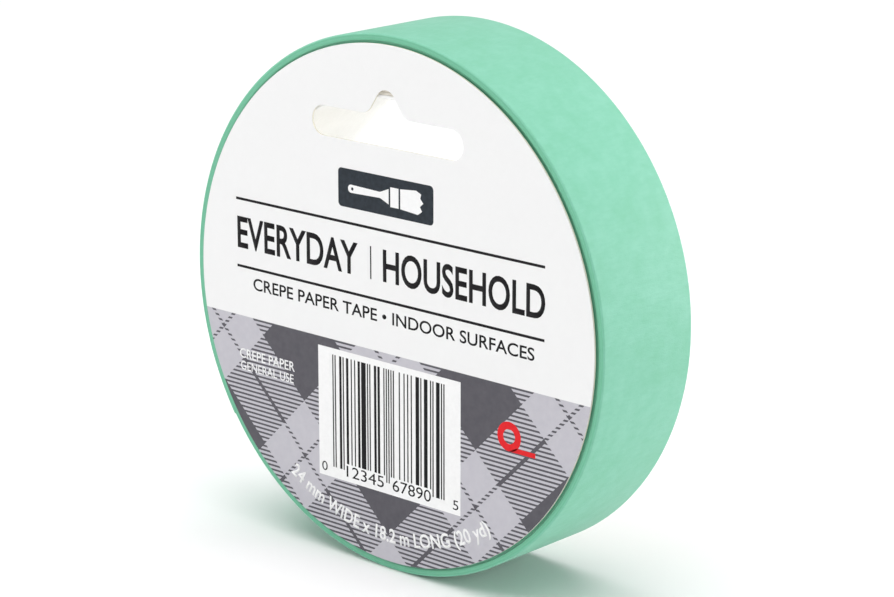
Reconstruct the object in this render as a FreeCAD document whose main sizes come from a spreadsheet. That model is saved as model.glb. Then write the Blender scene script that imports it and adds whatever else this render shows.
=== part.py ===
"""Roll of masking tape on a paperboard core, with a hang-slot label card on its front.

Millimetres. +Y runs along the core's axis towards the open back, and +Z is up as the label reads.
The origin is on the core's axis, halfway through the roll's width.
"""
import FreeCAD, Part
import math
import os
import Sketcher

# Driving dimensions. Angles are in degrees, from +X towards +Z.
SIZES = {
    "tape_width": 24.0,
    "tape_length": 18200.0,
    "tape_thickness": 0.14,
    "core_bore_radius": 38.1,
    "ply_thickness": 0.6,
    "seam_gap": 0.3,
    "seam_lead_angle": 29.0,
    "seam_place": 250.0,
    "seam_stagger": 97.0,
    "free_end_place": 215.0,
    "tape_end_length": 15.0,
    "tape_end_lift": 0.06,
    "peel_gap": 0.05,
    "label_margin": 1.75,
    "label_thickness": 0.45,
    "glue_thickness": 0.1,
    "glue_dot_radius": 2.5,
    "glue_dot_count": 6,
    "slot_length": 36.4,
    "slot_height": 5.5,
    "slot_drop": 3.1,
    "nub_height": 4.7,
    "nub_radius": 2.5,
    "nub_fillet": 2.6,
    "nub_spread": 5.9,
}

# Plies of the core, from the bore outwards.
PLIES = ["core_inner_ply", "core_body_ply_1", "core_body_ply_2", "core_outer_ply"]

# Sizing expressions that more than one piece is built on.
CORE_RADIUS = f"(sizes.core_bore_radius + {len(PLIES)} * sizes.ply_thickness)"
# The strip's side area, its length times its thickness, fills the ring from the core to this radius.
MEAN_RADIUS = f"sqrt({CORE_RADIUS} ^ 2 + sizes.tape_length * sizes.tape_thickness / pi)"
LABEL_RADIUS = f"({MEAN_RADIUS} - sizes.label_margin)"
# A hook through the hang slot goes on into the bore, so the slot hangs from the bore's top.
SLOT_TOP = "(sizes.core_bore_radius - sizes.slot_drop)"
# The wound outline is two half circles, the second with its centre moved along by half the tape's
# thickness, so that one turn climbs by exactly one thickness. Its radius starts at this value.
UNDER_RADIUS = f"({MEAN_RADIUS} - 1.5 * sizes.tape_thickness)"
OVER_RADIUS = f"({UNDER_RADIUS} + sizes.tape_thickness)"
SECOND_CENTRE = "(sizes.tape_thickness / 2)"
# Outside of the last half turn, from the second centre.
LAST_RADIUS = f"({OVER_RADIUS} + sizes.tape_thickness / 2)"
# The free end peels from here, in degrees back from the cut edge of the tape.
PEEL_ANGLE = f"(sizes.tape_end_length / {LAST_RADIUS} * 180 / pi)"
HELD_ANGLE = f"((sizes.tape_end_length + sizes.peel_gap) / {LAST_RADIUS} * 180 / pi)"

V = FreeCAD.Vector
UP = V(0, 0, 1)
# The sketcher's own numbers for a sketch's two axes and its origin, and for a curve's points.
X_AXIS, Z_AXIS = -1, -2
ORIGIN = (-1, 1)
START, END, CENTRE = 1, 2, 3

doc = FreeCAD.newDocument("masking_tape_roll")


def make_sheet():
    sizes = doc.addObject("Spreadsheet::Sheet", "sizes")
    for row, (alias, size) in enumerate(SIZES.items(), start=1):
        sizes.set(f"A{row}", alias)
        sizes.set(f"B{row}", str(size))
        sizes.setAlias(f"B{row}", alias)
    doc.recompute()
    return sizes


sheet = make_sheet()


def value(expression):
    """The number that a sizing expression gives, for drawing a sketch close to its final shape."""
    return float(sheet.evalExpression(expression))


def make_body(label, turn="0", along="0"):
    """A body turned about the core's axis, from +X towards +Z, and moved along it."""
    body = doc.addObject("PartDesign::Body", label)
    body.Label = label
    body.Placement = FreeCAD.Placement(V(), FreeCAD.Rotation(V(0, -1, 0), 1))
    body.setExpression("Placement.Rotation.Angle", turn)
    body.setExpression("Placement.Base.y", along)
    return body


def origin_feature(body, role):
    return next(f for f in body.Origin.OriginFeatures if f.Role == role)


def make_sketch(body, name, role="XZ_Plane"):
    sketch = body.newObject("Sketcher::SketchObject", f"{body.Name}_{name}")
    sketch.AttachmentSupport = [(origin_feature(body, role), "")]
    sketch.MapMode = "FlatFace"
    return sketch


def constrain(sketch, kind, *args, size=None):
    """Adds a constraint, and binds it to the expression size where it has one."""
    if size is None:
        sketch.addConstraint(Sketcher.Constraint(kind, *args))
        return
    drawn = math.radians(value(size)) if kind == "Angle" else value(size)
    index = sketch.addConstraint(Sketcher.Constraint(kind, *args, drawn))
    name = f"size_{index}"
    sketch.renameConstraint(index, name)
    sketch.setExpression(f".Constraints.{name}", size)


def add_circle(sketch, radius):
    circle = sketch.addGeometry(Part.Circle(V(), UP, value(radius)))
    constrain(sketch, "Coincident", circle, CENTRE, *ORIGIN)
    constrain(sketch, "Radius", circle, size=radius)
    return circle


def add_arc(sketch, centre, radius, first, last):
    """An arc about the point centre, from the angle first to the angle last, in degrees."""
    circle = Part.Circle(V(*centre, 0), UP, radius)
    return sketch.addGeometry(Part.ArcOfCircle(circle, math.radians(first), math.radians(last)))


def add_line(sketch, first, last):
    return sketch.addGeometry(Part.LineSegment(V(*first, 0), V(*last, 0)))


def link(sketch, line, first, last):
    """Ties a line's two ends to two points, each a curve and the name of its point."""
    constrain(sketch, "Coincident", line, START, *first)
    constrain(sketch, "Coincident", line, END, *last)


def add_turn(sketch, radius, last):
    """One spiral turn from the point (radius, 0): two half circles, the second stopping at last degrees."""
    reach, shift = value(radius), value(SECOND_CENTRE)
    half_1 = add_arc(sketch, (0, 0), reach, 0, 180)
    half_2 = add_arc(sketch, (shift, 0), reach + shift, 180, last)
    constrain(sketch, "Coincident", half_1, CENTRE, *ORIGIN)
    constrain(sketch, "Radius", half_1, size=radius)
    constrain(sketch, "PointOnObject", half_1, START, X_AXIS)
    constrain(sketch, "PointOnObject", half_1, END, X_AXIS)
    constrain(sketch, "Coincident", half_2, START, half_1, END)
    constrain(sketch, "PointOnObject", half_2, CENTRE, X_AXIS)
    constrain(sketch, "DistanceX", *ORIGIN, half_2, CENTRE, size=SECOND_CENTRE)
    return half_1, half_2


def add_radial_line(sketch, inner_arc, outer_arc, point, angle):
    """Closes two arcs about one centre with a line that points away from that centre at an angle."""
    inner = sketch.getPoint(inner_arc, point)
    outer = sketch.getPoint(outer_arc, point)
    line = add_line(sketch, (inner.x, inner.y), (outer.x, outer.y))
    link(sketch, line, (inner_arc, point), (outer_arc, point))
    constrain(sketch, "PointOnObject", inner_arc, CENTRE, line)
    constrain(sketch, "Angle", line, size=angle)


def make_pad(body, sketch, length, side="One side"):
    pad = body.newObject("PartDesign::Pad", f"{body.Name}_pad")
    pad.Profile = sketch
    pad.SideType = side
    pad.setExpression("Length", length)
    return pad


def make_ply(label, index):
    """One spiral-wound ply: a tube whose wall is cut right through by the slanting gap at its seam."""
    inner = f"(sizes.core_bore_radius + {index} * sizes.ply_thickness)"
    outer = f"({inner} + sizes.ply_thickness)"
    body = make_body(label, turn=f"sizes.seam_place - 90 + {index} * sizes.seam_stagger")
    ring = make_sketch(body, "ring")
    add_circle(ring, inner)
    add_circle(ring, outer)
    make_pad(body, ring, "sizes.tape_width", "Symmetric")

    # The gap is drawn as a long thin rectangle at the top of the tube, and crosses its whole width.
    seam = make_sketch(body, "seam", "XY_Plane")
    seam.setExpression("AttachmentOffset.Rotation.Angle", "sizes.seam_lead_angle")
    length = "(1.2 * sizes.tape_width / sin(sizes.seam_lead_angle * 1 deg))"
    half_x, half_y = value(length) / 2, value("sizes.seam_gap") / 2
    corners = [(-half_x, -half_y), (half_x, -half_y), (half_x, half_y), (-half_x, half_y)]
    sides = [add_line(seam, corners[i], corners[(i + 1) % 4]) for i in range(4)]
    for i, side in enumerate(sides):
        constrain(seam, "Coincident", side, END, sides[(i + 1) % 4], START)
        constrain(seam, "Vertical" if i % 2 else "Horizontal", side)
    constrain(seam, "Symmetric", sides[0], START, sides[2], START, *ORIGIN)
    constrain(seam, "DistanceX", sides[0], START, sides[0], END, size=length)
    constrain(seam, "DistanceY", sides[1], START, sides[1], END, size="sizes.seam_gap")
    doc.recompute()

    cut = body.newObject("PartDesign::Pocket", f"{label}_cut")
    cut.Profile = seam
    cut.Reversed = True
    cut.setExpression("Length", f"{outer} * 1.1")
    return body


def make_wound_tape():
    """All the turns under the outermost one. They are stuck together, so they are one solid."""
    body = make_body("wound_tape", turn="sizes.free_end_place")
    side = make_sketch(body, "side")
    half_1, half_2 = add_turn(side, UNDER_RADIUS, 360)
    constrain(side, "PointOnObject", half_2, END, X_AXIS)
    step = add_line(side, (value(OVER_RADIUS), 0), (value(UNDER_RADIUS), 0))
    link(side, step, (half_2, END), (half_1, START))
    add_circle(side, CORE_RADIUS)
    make_pad(body, side, "sizes.tape_width", "Symmetric")
    return body


def make_outer_turn():
    """The outermost turn of the strip, from the step where it leaves the turn below to the peel line."""
    body = make_body("outer_turn", turn="sizes.free_end_place")
    side = make_sketch(body, "side")
    stop = -value(HELD_ANGLE)
    inner_1, inner_2 = add_turn(side, UNDER_RADIUS, 360 + stop)
    outer_1, outer_2 = add_turn(side, OVER_RADIUS, 360 + stop)
    start = add_line(side, (value(UNDER_RADIUS), 0), (value(OVER_RADIUS), 0))
    link(side, start, (inner_1, START), (outer_1, START))
    add_radial_line(side, inner_2, outer_2, END, f"-{HELD_ANGLE}")
    make_pad(body, side, "sizes.tape_width", "Symmetric")
    return body


def make_tape_end():
    """The strip's free end, standing off the turn below by a hair so that it can peel."""
    body = make_body("tape_end", turn="sizes.free_end_place")
    side = make_sketch(body, "side")
    outer_radius = f"({LAST_RADIUS} + sizes.tape_end_lift)"
    inner_radius = f"({outer_radius} - sizes.tape_thickness)"
    centre = (value(SECOND_CENTRE), 0)
    stop = -value(PEEL_ANGLE)
    inner = add_arc(side, centre, value(inner_radius), stop, 0)
    outer = add_arc(side, centre, value(outer_radius), stop, 0)
    constrain(side, "PointOnObject", inner, CENTRE, X_AXIS)
    constrain(side, "DistanceX", *ORIGIN, inner, CENTRE, size=SECOND_CENTRE)
    constrain(side, "Coincident", outer, CENTRE, inner, CENTRE)
    constrain(side, "Radius", inner, size=inner_radius)
    constrain(side, "Radius", outer, size=outer_radius)
    cut_edge = add_line(side, (centre[0] + value(inner_radius), 0), (centre[0] + value(outer_radius), 0))
    link(side, cut_edge, (inner, END), (outer, END))
    constrain(side, "PointOnObject", inner, END, X_AXIS)
    constrain(side, "PointOnObject", outer, END, X_AXIS)
    add_radial_line(side, inner, outer, START, f"-{PEEL_ANGLE}")
    make_pad(body, side, "sizes.tape_width", "Symmetric")
    return body


def add_hang_slot(sketch):
    """A long slot with round ends, and a round-topped nub in the middle of its upper side."""
    end_radius = value("sizes.slot_height") / 2
    reach = value("sizes.slot_length") / 2 - end_radius
    high = value(SLOT_TOP)
    low = high - 2 * end_radius
    top = value("sizes.nub_radius")
    fillet = value("sizes.nub_fillet")
    spread = value("sizes.nub_spread")
    top_centre = V(0, high + value("sizes.nub_height") - top, 0)
    fillet_centre = V(spread, high + fillet, 0)
    between = fillet_centre - top_centre
    # The nub's flank touches both arcs from inside, so it leaves them at this angle.
    lean = math.degrees(math.atan2(between.y, between.x) + math.acos((top + fillet) / between.Length))
    normal = V(math.cos(math.radians(lean)), math.sin(math.radians(lean)), 0)
    flank_top = top_centre + normal * top
    flank_low = fillet_centre - normal * fillet

    bottom = add_line(sketch, (-reach, low), (reach, low))
    right_end = add_arc(sketch, (reach, low + end_radius), end_radius, -90, 90)
    right_top = add_line(sketch, (reach, high), (spread, high))
    right_fillet = add_arc(sketch, (spread, fillet_centre.y), fillet, 180 + lean, 270)
    right_flank = add_line(sketch, (flank_low.x, flank_low.y), (flank_top.x, flank_top.y))
    crown = add_arc(sketch, (0, top_centre.y), top, lean, 180 - lean)
    left_flank = add_line(sketch, (-flank_top.x, flank_top.y), (-flank_low.x, flank_low.y))
    left_fillet = add_arc(sketch, (-spread, fillet_centre.y), fillet, 270, 360 - lean)
    left_top = add_line(sketch, (-spread, high), (-reach, high))
    left_end = add_arc(sketch, (-reach, low + end_radius), end_radius, 90, 270)

    joints = [
        (bottom, END, right_end, START),
        (right_end, END, right_top, START),
        (right_top, END, right_fillet, END),
        (right_fillet, START, right_flank, START),
        (right_flank, END, crown, START),
        (crown, END, left_flank, START),
        (left_flank, END, left_fillet, END),
        (left_fillet, START, left_top, START),
        (left_top, END, left_end, START),
        (left_end, END, bottom, START),
    ]
    for joint in joints:
        constrain(sketch, "Tangent", *joint)
    constrain(sketch, "Symmetric", bottom, START, bottom, END, Z_AXIS)
    constrain(sketch, "Horizontal", right_top)
    constrain(sketch, "Horizontal", left_top)
    constrain(sketch, "DistanceX", bottom, START, bottom, END, size="(sizes.slot_length - sizes.slot_height)")
    constrain(sketch, "DistanceY", *ORIGIN, right_top, END, size=SLOT_TOP)
    for end in (right_end, left_end):
        constrain(sketch, "Radius", end, size="sizes.slot_height / 2")
    for arc in (right_fillet, left_fillet):
        constrain(sketch, "Radius", arc, size="sizes.nub_fillet")
    constrain(sketch, "DistanceX", *ORIGIN, right_fillet, CENTRE, size="sizes.nub_spread")
    constrain(sketch, "DistanceX", left_fillet, CENTRE, *ORIGIN, size="sizes.nub_spread")
    constrain(sketch, "Radius", crown, size="sizes.nub_radius")
    constrain(sketch, "PointOnObject", crown, CENTRE, Z_AXIS)
    crown_centre = f"({SLOT_TOP} + sizes.nub_height - sizes.nub_radius)"
    constrain(sketch, "DistanceY", *ORIGIN, crown, CENTRE, size=crown_centre)


def make_label_card():
    body = make_body("label_card", along="-(sizes.tape_width / 2 + sizes.glue_thickness)")
    face = make_sketch(body, "face")
    add_circle(face, LABEL_RADIUS)
    add_hang_slot(face)
    make_pad(body, face, "sizes.label_thickness")
    return body


def make_glue_dots():
    """Flat dots between the card and the wound tape's side, halfway between the core and the card's edge."""
    body = make_body("label_glue_dots", turn="180 / sizes.glue_dot_count", along="-sizes.tape_width / 2")
    body.AllowCompound = True
    ring_radius = f"(({CORE_RADIUS} + {LABEL_RADIUS}) / 2)"
    face = make_sketch(body, "face")
    dot = face.addGeometry(Part.Circle(V(value(ring_radius), 0, 0), UP, value("sizes.glue_dot_radius")))
    constrain(face, "PointOnObject", dot, CENTRE, X_AXIS)
    constrain(face, "DistanceX", *ORIGIN, dot, CENTRE, size=ring_radius)
    constrain(face, "Radius", dot, size="sizes.glue_dot_radius")
    pad = make_pad(body, face, "sizes.glue_thickness")
    doc.recompute()
    dots = body.newObject("PartDesign::PolarPattern", f"{body.Name}_pattern")
    dots.Originals = [pad]
    dots.Axis = (origin_feature(body, "Y_Axis"), [""])
    dots.Angle = 360
    dots.setExpression("Occurrences", "sizes.glue_dot_count")
    body.Tip = dots
    return body


def check_document(pieces):
    """Stops before anything is written if the document holds a fault."""
    for thing in doc.Objects:
        if "Invalid" in thing.State or "Error" in thing.State:
            raise RuntimeError(f"{thing.Name} is {thing.State}")
        if thing.isDerivedFrom("Sketcher::SketchObject") and not thing.FullyConstrained:
            raise RuntimeError(f"the sketch {thing.Name} is not fully constrained")
    for piece in pieces:
        if piece.Shape.isNull() or not piece.Shape.isValid():
            raise RuntimeError(f"{piece.Label} has no valid shape")
    for label in PLIES:
        whole = doc.getObject(f"{label}_pad").Shape.Volume
        seam = whole - doc.getObject(label).Shape.Volume
        least = value("sizes.tape_width * sizes.ply_thickness * sizes.seam_gap")
        if not least < seam < 4 * least:
            raise RuntimeError(f"the seam of {label} takes out {seam} cubic millimetres")
    dots = len(doc.getObject("label_glue_dots").Shape.Solids)
    if dots != SIZES["glue_dot_count"]:
        raise RuntimeError(f"there are {dots} glue dots")


def export(pieces):
    os.makedirs("parts", exist_ok=True)
    for piece in pieces:
        piece.Shape.exportStep(f"parts/{piece.Label}.step")
        box = piece.Shape.BoundBox
        print(f"{piece.Label}: {len(piece.Shape.Solids)} solids, {piece.Shape.Volume:.1f} mm3, "
              f"{box.XLength:.2f} x {box.YLength:.2f} x {box.ZLength:.2f} mm")


pieces = [make_ply(label, index) for index, label in enumerate(PLIES)]
pieces += [make_wound_tape(), make_outer_turn(), make_tape_end(), make_label_card(), make_glue_dots()]
doc.recompute()
check_document(pieces)
export(pieces)
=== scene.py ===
import bpy
import math
import random
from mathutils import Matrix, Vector


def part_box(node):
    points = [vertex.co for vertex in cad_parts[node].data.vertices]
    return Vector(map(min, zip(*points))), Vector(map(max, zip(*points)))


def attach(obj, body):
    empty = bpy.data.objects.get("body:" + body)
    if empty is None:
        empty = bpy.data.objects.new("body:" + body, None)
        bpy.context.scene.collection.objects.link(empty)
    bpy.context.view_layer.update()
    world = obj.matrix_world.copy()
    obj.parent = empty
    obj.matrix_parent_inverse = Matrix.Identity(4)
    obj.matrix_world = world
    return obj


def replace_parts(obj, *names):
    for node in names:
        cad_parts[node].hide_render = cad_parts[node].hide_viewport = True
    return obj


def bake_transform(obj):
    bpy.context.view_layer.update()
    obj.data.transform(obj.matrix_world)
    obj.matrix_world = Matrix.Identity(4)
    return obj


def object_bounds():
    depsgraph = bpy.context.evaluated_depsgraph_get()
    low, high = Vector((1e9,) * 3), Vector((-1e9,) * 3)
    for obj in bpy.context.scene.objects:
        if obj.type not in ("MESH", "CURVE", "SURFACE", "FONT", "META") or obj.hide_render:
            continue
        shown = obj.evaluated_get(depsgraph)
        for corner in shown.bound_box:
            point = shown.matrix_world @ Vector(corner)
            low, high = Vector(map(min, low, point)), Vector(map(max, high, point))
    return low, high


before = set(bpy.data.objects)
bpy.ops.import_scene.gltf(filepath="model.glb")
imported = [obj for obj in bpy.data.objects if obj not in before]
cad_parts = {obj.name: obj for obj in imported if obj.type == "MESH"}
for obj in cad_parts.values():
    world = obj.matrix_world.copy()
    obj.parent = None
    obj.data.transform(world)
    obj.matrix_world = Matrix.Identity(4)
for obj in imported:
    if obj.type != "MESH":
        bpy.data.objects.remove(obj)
cadLow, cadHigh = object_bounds()

# Sizes in the dictionaries are millimetres and degrees, and metres for the floor and the lamps.
# Angles round the roll run from +X towards +Z.
mm = 0.001
pi = math.pi

bpy.context.scene.view_settings.view_transform = "Standard"


def deselectAll():
    if bpy.context.object and bpy.context.object.mode != "OBJECT":
        bpy.ops.object.mode_set(mode="OBJECT")
    bpy.ops.object.select_all(action="DESELECT")


def selectOnly(piece):
    deselectAll()
    piece.select_set(True)
    bpy.context.view_layer.objects.active = piece


def hexColour(code):
    # sRGB hex to the linear RGBA that shader sockets take
    def linear(value):
        return value / 12.92 if value <= 0.04045 else ((value + 0.055) / 1.055) ** 2.4
    channels = [int(code[i:i + 2], 16) / 255 for i in (1, 3, 5)]
    return tuple(linear(c) for c in channels) + (1.0,)


def setInputs(tree, node, inputs):
    # links an input to a socket or to a node's first output, or sets it, by its name or number
    for name, source in inputs.items():
        if isinstance(source, bpy.types.Node):
            source = source.outputs[0]
        if isinstance(source, bpy.types.NodeSocket):
            tree.links.new(source, node.inputs[name])
        else:
            node.inputs[name].default_value = source


def addNode(tree, kind, settings=None, inputs=None):
    # adds a node with its properties, its ramp stops and its inputs
    node = tree.nodes.new("ShaderNode" + kind)
    for name, setting in (settings or {}).items():
        if name == "stops":
            points = node.color_ramp.elements
            while len(points) < len(setting):
                points.new(0.5)
            for point, (place, code) in zip(points, setting):
                point.position, point.color = place, hexColour(code)
        else:
            setattr(node, name, setting)
    setInputs(tree, node, inputs or {})
    return node


def newMaterial(name, constants):
    material = bpy.data.materials.new(name)
    material.use_nodes = True
    shader = material.node_tree.nodes["Principled BSDF"]
    setInputs(material.node_tree, shader, constants)
    return material, material.node_tree, shader


def turnOutwards(sheet):
    # a bent sheet faces away from the roll's axis before it gets its thickness
    selectOnly(sheet)
    face = sheet.data.polygons[0]
    if face.normal.dot(face.center) < 0:
        bpy.ops.object.mode_set(mode="EDIT")
        bpy.ops.mesh.select_all(action="SELECT")
        bpy.ops.mesh.flip_normals()
        bpy.ops.object.mode_set(mode="OBJECT")


# Tape materials

tapeFinish = {
    "deep": "#76BE9F",
    "mid": "#7BC1A5",
    "light": "#81C5AB",
    "edgeDark": "#6AB793",
    "edgeLight": "#7AC0A2",
    "adhesiveLow": "#86C79C",
    "adhesiveHigh": "#9BD7AE",
    # ridges are about 0.45 mm apart and 2 mm long, drawn about 1.5 times as coarse to show
    "ridgePitch": 0.7,
    "ridgeLength": 2.6,
    "fibreClump": 0.25,
    "dyeCloud": 3.0,
    "broadCloud": 12.0,
    # one turn is 0.14 mm, too fine to show, so the rings are drawn two turns wide
    "ringPitch": 0.28,
    "ringDrift": 20.0,
    "edgeFuzz": 0.2,
    "adhesiveStreak": 1.2,
}


def crepePaperMaterial():
    # saturated crepe paper, dry-creped: soft matt ridges across the strip, and cloudy dye
    material, tree, shader = newMaterial("mint crepe paper", {
        "Roughness": 0.62, "Specular IOR Level": 0.32, "Sheen Weight": 0.12, "Sheen Roughness": 0.6})
    finish = tapeFinish
    uv = addNode(tree, "UVMap", {"uv_map": "strip"})  # metres along the strip and across it
    stretched = addNode(tree, "Mapping", inputs={
        "Vector": uv, "Scale": (1 / (finish["ridgePitch"] * mm), 1 / (finish["ridgeLength"] * mm), 1)})
    ridges = addNode(tree, "TexNoise", {"noise_dimensions": "2D"}, {
        "Vector": stretched, "Scale": 1.0, "Detail": 3.0, "Roughness": 0.55})
    fibres = addNode(tree, "TexNoise", {"noise_dimensions": "2D"}, {
        "Vector": uv, "Scale": 1 / (finish["fibreClump"] * mm), "Detail": 2.0})
    clouds = addNode(tree, "TexNoise", {"noise_dimensions": "2D"}, {
        "Vector": uv, "Scale": 1 / (finish["dyeCloud"] * mm), "Detail": 4.0, "Roughness": 0.6})
    broad = addNode(tree, "TexNoise", {"noise_dimensions": "2D"}, {
        "Vector": uv, "Scale": 1 / (finish["broadCloud"] * mm), "Detail": 2.0})
    faint = addNode(tree, "Math", {"operation": "MULTIPLY"}, {0: ridges, 1: 0.25})
    faint = addNode(tree, "Math", {"operation": "MULTIPLY_ADD"}, {0: broad, 1: 0.3, 2: faint})
    dye = addNode(tree, "Math", {"operation": "MULTIPLY_ADD"}, {0: clouds, 1: 0.45, 2: faint})
    colour = addNode(tree, "ValToRGB", {"stops": [
        (0.34, finish["deep"]), (0.50, finish["mid"]), (0.66, finish["light"])]}, {"Fac": dye})
    height = addNode(tree, "Math", {"operation": "MULTIPLY_ADD"}, {0: fibres, 1: 0.35, 2: ridges})
    relief = addNode(tree, "Bump", inputs={"Strength": 0.6, "Distance": 0.1 * mm, "Height": height})
    setInputs(tree, shader, {"Base Color": colour, "Normal": relief})
    return material


def tapeEdgeMaterial():
    # the slit edges of the wound turns: deeper colour, in fine rings that shift from turn to turn
    material, tree, shader = newMaterial("slit crepe paper edges", {
        "Roughness": 0.7, "Specular IOR Level": 0.25})
    finish = tapeFinish
    place = addNode(tree, "TexCoord").outputs["Object"]
    parts = addNode(tree, "SeparateXYZ", inputs={0: place}).outputs
    fromAxis = addNode(tree, "CombineXYZ", inputs={0: parts[0], 1: parts[2]})
    radius = addNode(tree, "VectorMath", {"operation": "LENGTH"}, {0: fromAxis}).outputs["Value"]
    turn = addNode(tree, "Math", {"operation": "MULTIPLY"}, {0: radius, 1: 1 / (finish["ringPitch"] * mm)})
    drift = addNode(tree, "TexNoise", inputs={
        "Vector": place, "Scale": 1 / (finish["ringDrift"] * mm), "Detail": 1.0})
    driftParts = addNode(tree, "SeparateXYZ", inputs={0: drift.outputs["Color"]})
    shifted = addNode(tree, "Math", {"operation": "MULTIPLY_ADD"}, {0: driftParts, 1: 0.6, 2: turn})
    rings = addNode(tree, "TexNoise", {"noise_dimensions": "1D"}, {
        "W": shifted, "Scale": 1.0, "Detail": 2.0})
    fuzz = addNode(tree, "TexNoise", inputs={
        "Vector": place, "Scale": 1 / (finish["edgeFuzz"] * mm), "Detail": 2.0})
    faint = addNode(tree, "Math", {"operation": "MULTIPLY"}, {0: fuzz, 1: 0.2})
    mixed = addNode(tree, "Math", {"operation": "MULTIPLY_ADD"}, {0: rings, 1: 0.8, 2: faint})
    colour = addNode(tree, "ValToRGB", {"stops": [
        (0.32, finish["edgeDark"]), (0.66, finish["edgeLight"])]}, {"Fac": mixed})
    relief = addNode(tree, "Bump", inputs={"Strength": 0.5, "Distance": 0.08 * mm, "Height": mixed})
    setInputs(tree, shader, {"Base Color": colour, "Normal": relief})
    return material


def adhesiveMaterial():
    # rubber adhesive on the strip's underside: the dye shows through a tacky, slightly yellow gloss
    material, tree, shader = newMaterial("rubber adhesive coat", {
        "Roughness": 0.32, "Specular IOR Level": 0.5, "IOR": 1.5})
    place = addNode(tree, "TexCoord").outputs["Object"]
    streaks = addNode(tree, "TexNoise", inputs={
        "Vector": place, "Scale": 1 / (tapeFinish["adhesiveStreak"] * mm), "Detail": 3.0})
    colour = addNode(tree, "ValToRGB", {"stops": [
        (0.35, tapeFinish["adhesiveLow"]), (0.65, tapeFinish["adhesiveHigh"])]}, {"Fac": streaks})
    relief = addNode(tree, "Bump", inputs={"Strength": 0.3, "Distance": 0.04 * mm, "Height": streaks})
    setInputs(tree, shader, {"Base Color": colour, "Normal": relief})
    return material


# Wound roll

rollSize = {
    "coreRadius": 40.5,
    "underRadius": 49.30,
    "tapeThickness": 0.14,
    "freeEndPlace": 215.0,
    "freeEndLength": 15.0,
    "edgeRadius": 0.35,
    "edgeSteps": 6,
    "segments": 480,
    "sideRings": 48,
    "sideWander": 0.03,
    "climbDepth": 1.2,
    "sunkFrom": 46.8,
    "sunkTo": 48.05,
    "sunkDepth": 0.3,
    "wanderSeed": 7,
    "smoothAngle": 50.0,
}
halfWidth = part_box("wound_tape")[1].y / mm
freeEndAngle = rollSize["freeEndLength"] / (rollSize["underRadius"] + 1.5 * rollSize["tapeThickness"])
peelPlace = math.radians(rollSize["freeEndPlace"]) - freeEndAngle


def outerRadius(place):
    # outside of the top turn at an angle: level for half a turn past the free end, then up by one thickness
    past = (place - math.radians(rollSize["freeEndPlace"])) % (2 * pi)
    thickness = rollSize["tapeThickness"]
    climb = thickness / 2 * (1 + math.cos(past)) if past > pi else 0.0
    return rollSize["underRadius"] + thickness + climb


def rollProfile():
    # section through the roll at one side of its axis, as (radius, y), with soft outer corners
    size = rollSize
    wander = random.Random(size["wanderSeed"])
    outer = size["underRadius"] + size["tapeThickness"]
    soft = size["edgeRadius"]
    steps = size["sideRings"]
    sides = []
    edge = halfWidth - soft
    for side in (-1, 1):
        points = []
        for i in range(steps):
            radius = size["coreRadius"] + (outer - soft - size["coreRadius"]) * i / steps
            # the turns under the card's rim sit a little lower than the last ones
            sunk = size["sunkDepth"] if side < 0 and size["sunkFrom"] < radius < size["sunkTo"] else 0
            points.append((radius, side * (halfWidth - sunk - abs(wander.gauss(0, size["sideWander"])))))
        for i in range(size["edgeSteps"] + 1):
            turn = pi / 2 * i / size["edgeSteps"]
            points.append((outer - soft + soft * math.sin(turn), side * (edge + soft * math.cos(turn))))
        sides.append(points)
    return sides[0] + sides[1][::-1]


def addStripUV(mesh, start):
    # u is the length along the strip and v the place across it and over its edge, in metres, so patterns
    # keep their real scale
    layer = mesh.uv_layers.new(name="strip")
    for polygon in mesh.polygons:
        centre = polygon.center
        middle = (math.atan2(centre.z, centre.x) - start) % (2 * pi)
        for loop in polygon.loop_indices:
            co = mesh.vertices[mesh.loops[loop].vertex_index].co
            place = (math.atan2(co.z, co.x) - start) % (2 * pi)
            if abs(place - middle) > pi:
                place += 2 * pi if place < middle else -2 * pi
            radius = math.hypot(co.x, co.z)
            layer.data[loop].uv = (place * rollSize["underRadius"] * mm, co.y + radius - 50 * mm)


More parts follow.
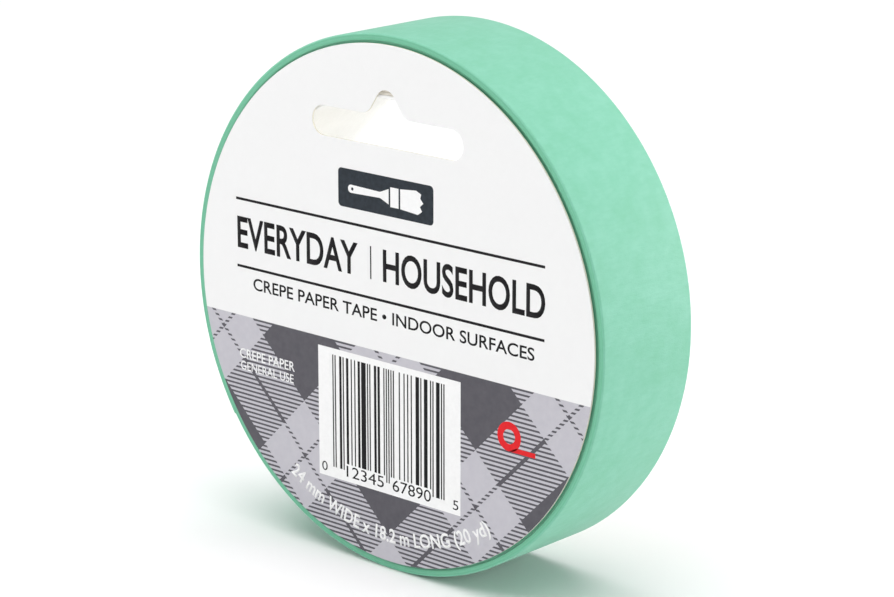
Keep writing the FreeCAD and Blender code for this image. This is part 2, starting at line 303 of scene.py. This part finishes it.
def makeRoll(paper, edges):
    print("winding the roll")
    deselectAll()
    profile = rollProfile()
    bpy.ops.mesh.primitive_circle_add(vertices=len(profile), radius=1)
    roll = bpy.context.object
    roll.name = "tapeRoll"
    for vertex, (radius, y) in zip(roll.data.vertices, profile):
        vertex.co = (radius * math.cos(peelPlace), y, radius * math.sin(peelPlace))
    bpy.ops.object.mode_set(mode="EDIT")
    bpy.ops.mesh.select_all(action="SELECT")
    bpy.ops.mesh.spin(steps=rollSize["segments"], angle=2 * pi, center=(0, 0, 0), axis=(0, -1, 0))
    bpy.ops.mesh.select_all(action="SELECT")
    bpy.ops.mesh.remove_doubles(threshold=0.0005)
    bpy.ops.mesh.normals_make_consistent(inside=False)
    bpy.ops.object.mode_set(mode="OBJECT")
    # the outer surface follows the spiral, and drops by one turn where the free end lies on it
    flat = rollSize["underRadius"] + rollSize["tapeThickness"]
    halfStep = pi / rollSize["segments"]
    for vertex in roll.data.vertices:
        radius = math.hypot(vertex.co.x, vertex.co.z)
        place = math.atan2(vertex.co.z, vertex.co.x)
        reach = outerRadius(place)
        if halfStep < (place - peelPlace) % (2 * pi) < freeEndAngle + halfStep:
            reach -= rollSize["tapeThickness"]
        share = min(max((radius - flat) / rollSize["climbDepth"] + 1, 0), 1)
        grow = (radius + (reach - flat) * share) / radius
        vertex.co = (vertex.co.x * grow * mm, vertex.co.y * mm, vertex.co.z * grow * mm)
    roll.data.materials.append(paper)
    roll.data.materials.append(edges)
    sideways = 0.96  # a face turned this far sideways is a cut edge
    for polygon in roll.data.polygons:
        polygon.material_index = 1 if abs(polygon.normal.y) > sideways else 0
    addStripUV(roll.data, peelPlace)
    selectOnly(roll)
    bpy.ops.object.shade_smooth_by_angle(angle=math.radians(rollSize["smoothAngle"]))
    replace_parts(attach(roll, "roll"), "wound_tape", "outer_turn")


# Free end of the strip

flapSize = {
    "halfWidth": 11.9,
    "lift": 0.015,
    "tipCurl": 0.08,
    "cornerCurl": 0.4,
    "cutWave": 0.12,
    "blendLength": 3.5,
    "lengthCuts": 48,
    "widthCuts": 24,
}


def makeFlap(paper, adhesive, edges):
    print("laying the free end")
    deselectAll()
    bpy.ops.mesh.primitive_grid_add(x_subdivisions=flapSize["lengthCuts"],
                                    y_subdivisions=flapSize["widthCuts"], size=1)
    flap = bpy.context.object
    flap.name = "tapeFreeEnd"
    thickness, soft = rollSize["tapeThickness"], rollSize["edgeRadius"]
    for vertex in flap.data.vertices:
        along = vertex.co.x + 0.5
        across = vertex.co.y * 2
        wave = flapSize["cutWave"] * math.sin(across * 9 + 1) * math.sin(across * 23)
        place = peelPlace + freeEndAngle * along + wave / rollSize["underRadius"] * along ** 6
        curl = flapSize["tipCurl"] * along ** 5 + flapSize["cornerCurl"] * along ** 6 * max(across, 0) ** 3
        # the sides follow the roll's soft corners down
        y = across * flapSize["halfWidth"]
        over = max(abs(y) - halfWidth + soft, 0)
        drop = soft - math.sqrt(soft ** 2 - over ** 2)
        radius = outerRadius(place - 0.001) - thickness / 2 + flapSize["lift"] + curl - drop
        vertex.co = (radius * mm * math.cos(place), y * mm, radius * mm * math.sin(place))
    layer = flap.data.uv_layers.new(name="strip")
    for loop in flap.data.loops:
        co = flap.data.vertices[loop.vertex_index].co
        place = (math.atan2(co.z, co.x) - peelPlace + pi) % (2 * pi) - pi
        layer.data[loop.index].uv = (place * rollSize["underRadius"] * mm, co.y)
    for material in (paper, adhesive, edges):
        flap.data.materials.append(material)
    turnOutwards(flap)
    solid = flap.modifiers.new("thickness", "SOLIDIFY")
    solid.thickness = thickness * mm
    solid.offset = 0
    solid.material_offset = 1
    solid.material_offset_rim = 2
    bpy.ops.object.modifier_apply(modifier=solid.name)
    bpy.ops.object.shade_smooth_by_angle(angle=math.radians(rollSize["smoothAngle"]))
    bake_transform(flap)
    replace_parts(flap, "tape_end")


# Core

coreSize = {
    "nodes": ["core_inner_ply", "core_body_ply_1", "core_body_ply_2", "core_outer_ply"],
    "boreRadius": 38.1,
    "plyThickness": 0.6,
    "glueGap": 0.02,
    "seamGap": 0.3,
    "leadAngle": 29.0,
    "seamPlace": 250.0,
    "seamStagger": 97.0,
    "roundCuts": 360,
    "widthCuts": 8,
    "edgeSoftness": 0.08,
    "smoothAngle": 40.0,
    "linerLow": "#F3F3F2",
    "linerHigh": "#FAFAF9",
    "boardLow": "#CFC9BD",
    "boardHigh": "#E2DDD2",
    # fibres are 1.5 mm long and 0.1 mm thick, drawn twice as thick to show
    "fibreLength": 1.5,
    "fibreThickness": 0.2,
    "fibreWidth": 0.9,
    "cloud": 6.0,
}


def boardMaterial(name, low, high, roughness):
    # paperboard: short pale fibres in all directions, matt
    material, tree, shader = newMaterial(name, {"Roughness": roughness, "Specular IOR Level": 0.25})
    place = addNode(tree, "TexCoord").outputs["Object"]
    fibreScale = [1 / (coreSize[side] * mm) for side in ("fibreLength", "fibreThickness", "fibreWidth")]
    stretched = addNode(tree, "Mapping", inputs={"Vector": place, "Scale": fibreScale})
    fibres = addNode(tree, "TexNoise", inputs={
        "Vector": stretched, "Scale": 1.0, "Detail": 3.0, "Distortion": 0.6})
    clouds = addNode(tree, "TexNoise", inputs={
        "Vector": place, "Scale": 1 / (coreSize["cloud"] * mm), "Detail": 2.0})
    faint = addNode(tree, "Math", {"operation": "MULTIPLY"}, {0: clouds, 1: 0.4})
    mixed = addNode(tree, "Math", {"operation": "MULTIPLY_ADD"}, {0: fibres, 1: 0.6, 2: faint})
    colour = addNode(tree, "ValToRGB", {"stops": [(0.36, low), (0.62, high)]}, {"Fac": mixed})
    relief = addNode(tree, "Bump", inputs={"Strength": 0.25, "Distance": 0.04 * mm, "Height": fibres})
    setInputs(tree, shader, {"Base Color": colour, "Normal": relief})
    return material


def makePly(node, index, material):
    # a sheet bent round into a tube, sheared so that its two long edges meet along a slanting seam
    deselectAll()
    bpy.ops.mesh.primitive_grid_add(x_subdivisions=coreSize["roundCuts"],
                                    y_subdivisions=coreSize["widthCuts"], size=1)
    ply = bpy.context.object
    ply.name = "".join(word.capitalize() if i else word for i, word in enumerate(node.split("_")))
    radius = coreSize["boreRadius"] + (index + 0.5) * coreSize["plyThickness"]
    slope = radius * math.tan(math.radians(coreSize["leadAngle"]))
    gap = coreSize["seamGap"] / math.sin(math.radians(coreSize["leadAngle"])) / radius
    seam = math.radians(coreSize["seamPlace"] + index * coreSize["seamStagger"])
    for vertex in ply.data.vertices:
        y = vertex.co.y * 2 * halfWidth
        place = seam - y / slope + gap / 2 + (vertex.co.x + 0.5) * (2 * pi - gap)
        vertex.co = (radius * mm * math.cos(place), y * mm, radius * mm * math.sin(place))
    turnOutwards(ply)
    solid = ply.modifiers.new("thickness", "SOLIDIFY")
    solid.thickness = (coreSize["plyThickness"] - coreSize["glueGap"]) * mm
    solid.offset = 0
    bpy.ops.object.modifier_apply(modifier=solid.name)
    soft = ply.modifiers.new("soft edges", "BEVEL")
    soft.width = coreSize["edgeSoftness"] * mm
    soft.segments = 2
    soft.limit_method = "ANGLE"
    soft.angle_limit = math.radians(60)
    bpy.ops.object.modifier_apply(modifier=soft.name)
    bpy.ops.object.shade_smooth_by_angle(angle=math.radians(coreSize["smoothAngle"]))
    ply.data.materials.append(material)
    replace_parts(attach(ply, "roll"), node)


def makeCore(liner, board):
    print("rolling the core")
    for index, node in enumerate(coreSize["nodes"]):
        makePly(node, index, board if index else liner)


# Label card

cardSize = {
    "radius": 47.76,
    "edgeSoftness": 0.07,
    "slotLength": 36.4,
    "slotHeight": 5.5,
    "slotTop": 35.0,
    "nubHeight": 4.7,
    "nubRadius": 2.5,
    "nubFillet": 2.6,
    "nubSpread": 5.9,
    "checkTop": -8.2,
    "rimPoints": 360,
    "smoothAngle": 20.0,
}
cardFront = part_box("label_card")[0].y / mm
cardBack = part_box("label_card")[1].y / mm


def arcPoints(centre, radius, first, last, steps):
    turns = [math.radians(first + (last - first) * i / steps) for i in range(steps + 1)]
    return [(centre[0] + radius * math.cos(t), centre[1] + radius * math.sin(t)) for t in turns]


def slotOutline():
    size = cardSize
    end = size["slotHeight"] / 2
    reach = size["slotLength"] / 2 - end
    middle = size["slotTop"] - end
    crown = (0, size["slotTop"] + size["nubHeight"] - size["nubRadius"])
    corner = (size["nubSpread"], size["slotTop"] + size["nubFillet"])
    between = math.hypot(corner[0] - crown[0], corner[1] - crown[1])
    # the flank touches the crown and the corner arc from inside
    lean = math.degrees(math.atan2(corner[1] - crown[1], corner[0] - crown[0])
                        + math.acos((size["nubRadius"] + size["nubFillet"]) / between))
    points = arcPoints((reach, middle), end, -90, 90, 24)
    points += arcPoints(corner, size["nubFillet"], 270, 180 + lean, 12)
    points += arcPoints(crown, size["nubRadius"], lean, 180 - lean, 24)
    points += arcPoints((-corner[0], corner[1]), size["nubFillet"], 360 - lean, 270, 12)
    points += arcPoints((-reach, middle), end, 90, 270, 24)
    return points


def flatPiece(name, outlines, thickness, softness=0.0):
    # a filled flat shape of closed outlines in millimetres, holes included, as a closed mesh
    curve = bpy.data.curves.new(name, "CURVE")
    curve.dimensions = "2D"
    curve.fill_mode = "BOTH"
    curve.extrude = thickness / 2 - softness
    curve.bevel_depth = softness
    curve.bevel_resolution = 1
    curve.offset = -softness
    for outline in outlines:
        spline = curve.splines.new("POLY")
        spline.points.add(len(outline) - 1)
        for point, (x, y) in zip(spline.points, outline):
            point.co = (x, y, 0, 1)
        spline.use_cyclic_u = True
    piece = bpy.data.objects.new(name, curve)
    bpy.context.scene.collection.objects.link(piece)
    selectOnly(piece)
    bpy.ops.object.convert(target="MESH")
    # the curve's faces and walls come apart, so they are merged, and then all turned outwards
    bpy.ops.object.mode_set(mode="EDIT")
    bpy.ops.mesh.select_all(action="SELECT")
    bpy.ops.mesh.remove_doubles(threshold=0.0005)
    bpy.ops.mesh.dissolve_degenerate(threshold=0.0001)
    bpy.ops.mesh.normals_make_consistent(inside=False)
    bpy.ops.object.mode_set(mode="OBJECT")
    return bpy.context.object


def placeOnCard(piece, proud):
    # stands a flat piece up on the card's front, its face that far proud of the card
    depth = max(v.co.z for v in piece.data.vertices)
    for vertex in piece.data.vertices:
        co = vertex.co
        vertex.co = (co.x * mm, (cardFront - proud + depth - co.z) * mm, co.y * mm)
    piece.data.update()
    return piece


def rectangle(left, right, low, high):
    return [(left, low), (right, low), (right, high), (left, high)]


def roundedRectangle(left, right, low, high, radius):
    corners = [((right - radius, low + radius), -90), ((right - radius, high - radius), 0),
               ((left + radius, high - radius), 90), ((left + radius, low + radius), 180)]
    return [p for centre, first in corners for p in arcPoints(centre, radius, first, first + 90, 6)]


checkSize = {
    "period": 30.0,
    "crossing": (-21.2, -11.0),
    "lineWidth": 0.72,
    "stripePitch": 0.84,
    "stripeShare": 0.45,
    "grain": 1.2,
    "inkDepth": 0.02,
    "coatDepth": 0.06,
    "white": "#EEEEEE",
    "whiteLow": "#EDEDED",
    "light": "#C1BFC6",
    "lightLow": "#BCBAC2",
    "dark": "#57555C",
    "darkLow": "#504E55",
    "bareBoard": "#D9D4C6",
}


def printedCardMaterial():
    # coated white board, with a grey diagonal check printed on the lower part of its face
    material, tree, shader = newMaterial("coated printed board", {
        "Roughness": 0.5, "Specular IOR Level": 0.3})
    size = checkSize
    place = addNode(tree, "TexCoord").outputs["Object"]
    inMillimetres = addNode(tree, "VectorMath", {"operation": "SCALE"}, {0: place, "Scale": 1 / mm})
    parts = addNode(tree, "SeparateXYZ", inputs={0: inMillimetres}).outputs
    left = addNode(tree, "Math", {"operation": "SUBTRACT"}, {0: parts[0], 1: size["crossing"][0]})
    up = addNode(tree, "Math", {"operation": "SUBTRACT"}, {0: parts[2], 1: size["crossing"][1]})
    # threads run along both diagonals: dark bands, and pale bands with a thin dark line down the middle
    reach = size["period"] * math.sqrt(0.5)  # half a period, measured along x plus z
    lineReach = size["lineWidth"] * math.sqrt(0.5)
    threads = []
    for operation in ("ADD", "SUBTRACT"):
        diagonal = addNode(tree, "Math", {"operation": operation}, {0: left, 1: up})
        away = addNode(tree, "Math", {"operation": "PINGPONG"}, {0: diagonal, 1: reach})
        band = addNode(tree, "Math", {"operation": "LESS_THAN"}, {0: away, 1: reach / 2})
        line = addNode(tree, "Math", {"operation": "GREATER_THAN"}, {0: away, 1: reach - lineReach})
        threads.append(addNode(tree, "Math", {"operation": "MAXIMUM"}, {0: band, 1: line}))
    # dark over dark is solid, dark over pale is striped
    stripe = addNode(tree, "Math", {"operation": "PINGPONG"}, {0: parts[2], 1: size["stripePitch"] / 2})
    stripe = addNode(tree, "Math", {"operation": "LESS_THAN"}, {
        0: stripe, 1: size["stripePitch"] * size["stripeShare"] / 2})
    both = addNode(tree, "Math", {"operation": "MULTIPLY"}, {0: threads[0], 1: threads[1]})
    either = addNode(tree, "Math", {"operation": "MAXIMUM"}, {0: threads[0], 1: threads[1]})
    striped = addNode(tree, "Math", {"operation": "MULTIPLY"}, {0: either, 1: stripe})
    ink = addNode(tree, "Math", {"operation": "MAXIMUM"}, {0: both, 1: striped})
    # the board's grain mottles every colour a little
    grain = addNode(tree, "TexNoise", inputs={
        "Vector": place, "Scale": 1 / (size["grain"] * mm), "Detail": 3.0})
    paper, light, deep = [
        addNode(tree, "ValToRGB", {"stops": [(0.3, size[name + "Low"]), (0.7, size[name])]}, {"Fac": grain})
        for name in ("white", "light", "dark")]
    check = addNode(tree, "Mix", {"data_type": "RGBA"}, {0: ink, 6: light, 7: deep}).outputs[2]
    onFace = addNode(tree, "Math", {"operation": "LESS_THAN"}, {
        0: parts[1], 1: cardFront + size["inkDepth"]})
    below = addNode(tree, "Math", {"operation": "LESS_THAN"}, {0: parts[2], 1: cardSize["checkTop"]})
    printed = addNode(tree, "Math", {"operation": "MULTIPLY"}, {0: onFace, 1: below})
    face = addNode(tree, "Mix", {"data_type": "RGBA"}, {0: printed, 6: paper, 7: check}).outputs[2]
    # the cut edge and the back are bare board
    bare = addNode(tree, "Math", {"operation": "GREATER_THAN"}, {
        0: parts[1], 1: cardFront + size["coatDepth"]})
    colour = addNode(tree, "Mix", {"data_type": "RGBA"}, {
        0: bare, 6: face, 7: hexColour(size["bareBoard"])}).outputs[2]
    relief = addNode(tree, "Bump", inputs={"Strength": 0.05, "Distance": 0.02 * mm, "Height": grain})
    setInputs(tree, shader, {"Base Color": colour, "Normal": relief})
    return material


def makeCard(material):
    print("cutting the label card")
    points = cardSize["rimPoints"]
    rim = arcPoints((0, 0), cardSize["radius"], 0, 360 - 360 / points, points - 1)
    card = flatPiece("labelCard", [rim, slotOutline()], cardBack - cardFront, cardSize["edgeSoftness"])
    placeOnCard(card, 0.0)
    card.data.materials.clear()
    card.data.materials.append(material)
    bpy.ops.object.shade_smooth_by_angle(angle=math.radians(cardSize["smoothAngle"]))
    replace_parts(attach(card, "label"), "label_card")


# Print on the card: generic words and marks only

inkSize = {
    "thickness": 0.012,
    # how far the first and the second print stand proud of the card
    "first": 0.008,
    "second": 0.014,
    "mottle": 0.8,
    "black": ("#191819", "#1F1D20"),
    "white": ("#F1F1F1", "#F4F4F4"),
    "slate": ("#2C3238", "#32383F"),
    "red": ("#DC2127", "#E2262C"),
}


def inkMaterial(name, roughness):
    # offset ink: thin and even, with a faint mottle where the board drinks it
    material, tree, shader = newMaterial(name + " offset ink", {
        "Roughness": roughness, "Specular IOR Level": 0.12})
    place = addNode(tree, "TexCoord").outputs["Object"]
    mottle = addNode(tree, "TexNoise", inputs={
        "Vector": place, "Scale": 1 / (inkSize["mottle"] * mm), "Detail": 2.0})
    low, high = inkSize[name]
    colour = addNode(tree, "ValToRGB", {"stops": [(0.35, low), (0.65, high)]}, {"Fac": mottle})
    setInputs(tree, shader, {"Base Color": colour})
    return material


titleSize = {
    # words, left, right, low, high, weight
    "lines": [
        ("EVERYDAY", -38.2, -7.1, 4.9, 11.0, 0.018),
        ("HOUSEHOLD", -0.9, 36.9, 4.9, 11.0, 0.018),
        ("CREPE PAPER TAPE • INDOOR SURFACES", -34.2, 34.6, -2.68, -0.32, 0.012),
    ],
    # left, right, low, high
    "rules": [(-38.4, 36.8, 14.1, 14.6), (-38.4, 36.8, 1.18, 1.68), (-4.05, -3.75, 4.9, 11.0)],
}


def textPiece(words, left, right, low, high, weight):
    # letters fitted to a box on the card, as a closed mesh
    deselectAll()
    bpy.ops.object.text_add()
    text = bpy.context.object
    text.data.body = words
    text.data.resolution_u = 5
    text.data.offset = weight
    bpy.ops.object.convert(target="MESH")
    piece = bpy.context.object
    xs = [v.co.x for v in piece.data.vertices]
    ys = [v.co.y for v in piece.data.vertices]
    scaleX = (right - left) / (max(xs) - min(xs))
    scaleY = (high - low) / (max(ys) - min(ys))
    x0, y0 = min(xs), min(ys)
    for vertex in piece.data.vertices:
        vertex.co = (left + (vertex.co.x - x0) * scaleX, low + (vertex.co.y - y0) * scaleY, 0)
    selectOnly(piece)
    bpy.ops.object.mode_set(mode="EDIT")
    bpy.ops.mesh.select_all(action="SELECT")
    bpy.ops.mesh.remove_doubles(threshold=0.0001)
    bpy.ops.mesh.dissolve_degenerate(threshold=0.0001)
    bpy.ops.mesh.extrude_region_move(TRANSFORM_OT_translate={"value": (0, 0, inkSize["thickness"])})
    bpy.ops.mesh.select_all(action="SELECT")
    bpy.ops.mesh.normals_make_consistent(inside=False)
    bpy.ops.object.mode_set(mode="OBJECT")
    return piece


def joinAs(name, pieces, material):
    selectOnly(pieces[0])
    for piece in pieces[1:]:
        piece.select_set(True)
    if len(pieces) > 1:
        bpy.ops.object.join()
    piece = bpy.context.object
    piece.name = name
    piece.data.materials.clear()
    piece.data.materials.append(material)
    for polygon in piece.data.polygons:
        polygon.material_index = 0
    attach(piece, "label")
    return piece


def makeWords(black):
    print("printing the words and rules")
    pieces = [placeOnCard(textPiece(*line), inkSize["first"]) for line in titleSize["lines"]]
    rules = flatPiece("rules", [rectangle(*rule) for rule in titleSize["rules"]], inkSize["thickness"])
    pieces.append(placeOnCard(rules, inkSize["first"]))
    joinAs("titlePrint", pieces, black)


def barcodeModules(digits):
    # the usual retail code, as ones and zeros: each digit is seven modules, the right half inverted
    patterns = ["0001101", "0011001", "0010011", "0111101", "0100011",
                "0110001", "0101111", "0111011", "0110111", "0001011"]
    left = "".join(patterns[int(d)] for d in digits[:6])
    right = "".join("10"[int(bit)] for d in digits[6:] for bit in patterns[int(d)])
    return "101" + left + "01010" + right + "101"


barcodeSize = {
    "panel": (-17.4, 17.7, -34.8, -9.9),
    "left": -13.8,
    "module": 0.2916,
    "top": -11.1,
    "low": -31.4,
    "guardLow": -32.7,
    "digits": "012345678905",
    # words, left, right, low, high
    "figures": [("0", -16.7, -15.3, -33.9, -32.1), ("12345", -10.4, -1.0, -33.9, -31.7),
                ("67890", 1.2, 10.6, -33.9, -31.7), ("5", 15.9, 17.2, -33.9, -32.1)],
}


def makeBarcode(white, black):
    print("printing the barcode panel")
    size = barcodeSize
    panel = flatPiece("panel", [rectangle(*size["panel"])], inkSize["thickness"])
    joinAs("barcodePanel", [placeOnCard(panel, inkSize["first"])], white)
    modules = barcodeModules(size["digits"])
    bars, start = [], None
    for i, bit in enumerate(modules + "0"):
        if bit == "1" and start is None:
            start = i
        elif bit == "0" and start is not None:
            guard = start < 10 or start > 84 or 45 <= start < 50
            low = size["guardLow"] if guard else size["low"]
            bars.append(rectangle(size["left"] + start * size["module"], size["left"] + i * size["module"],
                                  low, size["top"]))
            start = None
    pieces = [placeOnCard(flatPiece("bars", bars, inkSize["thickness"]), inkSize["second"])]
    pieces += [placeOnCard(textPiece(*figures, 0.0), inkSize["second"]) for figures in size["figures"]]
    joinAs("barcodeBars", pieces, black)


tagSize = {
    "plate": (-11.8, 11.3, 17.2, 24.3),
    "corner": 0.8,
    # a plain paintbrush, lying on its side
    "handleEnd": (-8.6, 20.75),
    "handleRadius": 0.75,
    "hangHole": (-8.3, 20.75),
    "hangRadius": 0.3,
    "neck": [(-1.5, 20.2), (0.6, 19.35), (0.6, 22.15), (-1.5, 21.3)],
    "ferrule": (1.0, 3.0, 18.95, 22.55),
    "bristles": [(3.4, 18.95), (7.6, 18.6), (8.6, 19.3), (8.1, 20.1), (8.9, 20.8), (8.2, 21.6), (8.4, 22.4),
                 (7.2, 22.9), (3.4, 22.55)],
}


def makeTag(slate, white):
    print("printing the brush tag")
    size = tagSize
    plate = flatPiece("plate", [roundedRectangle(*size["plate"], size["corner"])], inkSize["thickness"])
    joinAs("brushTag", [placeOnCard(plate, inkSize["first"])], slate)
    handle = arcPoints(size["handleEnd"], size["handleRadius"], 90, 270, 10) + size["neck"]
    hole = arcPoints(size["hangHole"], size["hangRadius"], 0, 330, 11)
    outlines = [handle, hole, rectangle(*size["ferrule"]), size["bristles"]]
    icon = flatPiece("icon", outlines, inkSize["thickness"])
    joinAs("brushIcon", [placeOnCard(icon, inkSize["second"])], white)


whitePrintSize = {
    "curvedWords": "24 mm WIDE x 18.2 m LONG (20 yd)",
    "radius": 44.9,
    "span": 34.5,
    "height": 3.6,
    "weight": 0.022,
    # words, left, right, low, high, weight
    "sideLines": [("CREPE PAPER", -38.2, -23.6, -16.5, -14.6, 0.012),
                  ("GENERAL USE", -38.0, -23.9, -18.8, -17.1, 0.004)],
}


def makeWhitePrint(white):
    print("printing the white lines")
    # the lower line is set straight and then bent round the card's centre
    size = whitePrintSize
    half = math.radians(size["span"]) * size["radius"]
    line = textPiece(size["curvedWords"], -half, half, 0, size["height"], size["weight"])
    for vertex in line.data.vertices:
        turn = vertex.co.x / size["radius"]
        radius = size["radius"] - vertex.co.y
        vertex.co = (radius * math.sin(turn), -radius * math.cos(turn), vertex.co.z)
    pieces = [placeOnCard(line, inkSize["first"])]
    pieces += [placeOnCard(textPiece(*words), inkSize["first"]) for words in size["sideLines"]]
    joinAs("whitePrint", pieces, white)


rollIconSize = {
    "centre": (29.0, -17.4),
    "radius": 2.7,
    "hole": 1.35,
    "tailLength": 6.0,
    "tailWidth": 0.9,
    "tailStart": 1.8,
}


def makeRollIcon(red):
    print("printing the roll icon")
    size = rollIconSize
    x, z = size["centre"]
    ring = arcPoints((x, z), size["radius"], 0, 355, 71)
    hole = arcPoints((x, z), size["hole"], 0, 350, 35)
    low = z - size["radius"]
    high = low + size["tailWidth"]
    end = x + size["tailLength"]
    tail = [(x, low), (end, low), (end, high), (x + size["tailStart"], high)]
    pieces = [flatPiece("ring", [ring, hole], inkSize["thickness"]),
              flatPiece("tail", [tail], inkSize["thickness"])]
    joinAs("rollIcon", [placeOnCard(piece, inkSize["first"]) for piece in pieces], red)


# Glue dots

glueSize = {
    "dots": 6,
    "ringRadius": 44.13,
    "radius": 2.5,
    "softness": 0.035,
    "first": 30.0,
    "narrowest": 0.9,
    "squashSeed": 3,
    "haze": 1.5,
    "hazeLow": "#DDD5B8",
    "hazeHigh": "#EEE8D2",
}


def glueMaterial():
    # hot-melt glue: cloudy, pale amber, soft gloss
    material, tree, shader = newMaterial("hot-melt glue", {
        "Roughness": 0.35, "IOR": 1.48, "Specular IOR Level": 0.5})
    place = addNode(tree, "TexCoord").outputs["Object"]
    haze = addNode(tree, "TexNoise", inputs={
        "Vector": place, "Scale": 1 / (glueSize["haze"] * mm), "Detail": 2.0})
    colour = addNode(tree, "ValToRGB", {"stops": [
        (0.35, glueSize["hazeLow"]), (0.65, glueSize["hazeHigh"])]}, {"Fac": haze})
    setInputs(tree, shader, {"Base Color": colour})
    return material


def makeGlue(material):
    print("setting the glue dots")
    low, high = (v.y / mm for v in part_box("label_glue_dots"))
    deselectAll()
    bpy.ops.mesh.primitive_cylinder_add(vertices=40, radius=glueSize["radius"], depth=high - low)
    dot = bpy.context.object
    bpy.ops.object.mode_set(mode="EDIT")
    bpy.ops.mesh.select_all(action="SELECT")
    bpy.ops.mesh.bevel(offset=glueSize["softness"], segments=3)
    bpy.ops.object.mode_set(mode="OBJECT")
    dots = []
    wander = random.Random(glueSize["squashSeed"])
    for i in range(glueSize["dots"]):
        turn = math.radians(glueSize["first"] + 360 * i / glueSize["dots"])
        squash, lean = wander.uniform(glueSize["narrowest"], 1.0), wander.uniform(0, pi)
        copy = dot.copy()
        copy.data = dot.data.copy()
        bpy.context.scene.collection.objects.link(copy)
        for vertex in copy.data.vertices:
            x, z, y = vertex.co.x, vertex.co.y, vertex.co.z
            # pressed out unevenly, a little narrower one way
            wide = x * math.cos(lean) + z * math.sin(lean)
            tall = (z * math.cos(lean) - x * math.sin(lean)) * squash
            x = wide * math.cos(lean) - tall * math.sin(lean)
            z = wide * math.sin(lean) + tall * math.cos(lean)
            x += glueSize["ringRadius"] * math.cos(turn)
            z += glueSize["ringRadius"] * math.sin(turn)
            vertex.co = (x * mm, ((low + high) / 2 + y) * mm, z * mm)
        dots.append(copy)
    bpy.data.objects.remove(dot)
    glue = joinAs("glueDots", dots, material)
    selectOnly(glue)
    bpy.ops.object.mode_set(mode="EDIT")
    bpy.ops.mesh.select_all(action="SELECT")
    bpy.ops.mesh.normals_make_consistent(inside=False)
    bpy.ops.object.mode_set(mode="OBJECT")
    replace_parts(glue, "label_glue_dots")


# Floor, light and camera

stageSize = {
    "floorRadius": 0.95,
    "floor": "#F4F4F4",
    # white up to a little above the horizon, so the floor's far edge is lost in it, and dimmer overhead
    "horizonStrength": 1.0,
    "horizonHeight": 0.03,
    "skyStrength": 0.2,
    "skyHeight": 0.2,
    # name, place, width, height, power in watts; all are aimed at the roll's middle
    "lamps": [
        ("topSoftbox", (0.1, -0.1, 1.9), 2.4, 2.4, 51.0),
        ("leftSoftbox", (-1.05, -0.85, 0.5), 0.45, 0.45, 5.4),
        ("rightSoftbox", (1.5, -0.5, 0.6), 0.9, 0.7, 2.6),
        ("backSoftbox", (0.6, 1.0, 0.12), 0.8, 0.3, 7.0),
    ],
}
cameraSize = {
    "azimuth": 42.197,
    "elevation": 15.501,
    "distance": 507.31,
    "lookAt": (3.10, 0.0, 0.04),
    "lens": 113.03,
    "sensorWidth": 36.0,
    "nearest": 10.0,
}


def makeStage():
    print("setting the stage")
    deselectAll()
    bpy.ops.mesh.primitive_circle_add(vertices=96, radius=stageSize["floorRadius"], fill_type="NGON",
                                      location=(0, 0, cadLow.z))
    floor = bpy.context.object
    floor.name = "floor"
    # matt paper sweep: even white, no gloss
    material, tree, shader = newMaterial("matt white paper sweep", {
        "Base Color": hexColour(stageSize["floor"]), "Roughness": 0.9, "Specular IOR Level": 0.1})
    floor.data.materials.append(material)
    world = bpy.data.worlds.new("studio")
    bpy.context.scene.world = world
    world.use_nodes = True
    tree = world.node_tree
    towards = addNode(tree, "TexCoord").outputs["Generated"]
    height = addNode(tree, "SeparateXYZ", inputs={0: towards}).outputs[2]
    strength = addNode(tree, "MapRange", inputs={
        "Value": height, "From Min": stageSize["horizonHeight"], "From Max": stageSize["skyHeight"],
        "To Min": stageSize["horizonStrength"], "To Max": stageSize["skyStrength"]})
    setInputs(tree, tree.nodes["Background"], {"Color": hexColour("#FFFFFF"), "Strength": strength})
    for name, place, width, height, power in stageSize["lamps"]:
        bpy.ops.object.light_add(type="AREA", location=place)
        lamp = bpy.context.object
        lamp.name = name
        lamp.data.shape = "RECTANGLE"
        lamp.data.size, lamp.data.size_y = width, height
        lamp.data.energy = power
        lamp.rotation_euler = (-Vector(place)).to_track_quat("-Z", "Y").to_euler()


def makeCamera():
    print("placing the camera")
    size = cameraSize
    turn, rise = math.radians(size["azimuth"]), math.radians(size["elevation"])
    back = Vector((math.sin(turn) * math.cos(rise), -math.cos(turn) * math.cos(rise), math.sin(rise)))
    aim = Vector(size["lookAt"]) * mm
    bpy.ops.object.camera_add(location=aim + back * size["distance"] * mm)
    camera = bpy.context.object
    camera.rotation_euler = (-back).to_track_quat("-Z", "Y").to_euler()
    camera.data.lens = size["lens"]
    camera.data.sensor_width = size["sensorWidth"]
    camera.data.clip_start = size["nearest"] * mm
    bpy.context.scene.camera = camera


makeStage()
makeCamera()

crepePaper = crepePaperMaterial()
tapeEdges = tapeEdgeMaterial()
makeRoll(crepePaper, tapeEdges)
makeFlap(crepePaper, adhesiveMaterial(), tapeEdges)
makeCore(boardMaterial("white liner paper", coreSize["linerLow"], coreSize["linerHigh"], 0.7),
         boardMaterial("pale chipboard", coreSize["boardLow"], coreSize["boardHigh"], 0.85))

blackInk, whiteInk = inkMaterial("black", 0.6), inkMaterial("white", 0.5)
makeCard(printedCardMaterial())
makeWords(blackInk)
makeBarcode(whiteInk, blackInk)
makeTag(inkMaterial("slate", 0.6), whiteInk)
makeWhitePrint(whiteInk)
makeRollIcon(inkMaterial("red", 0.5))
makeGlue(glueMaterial())
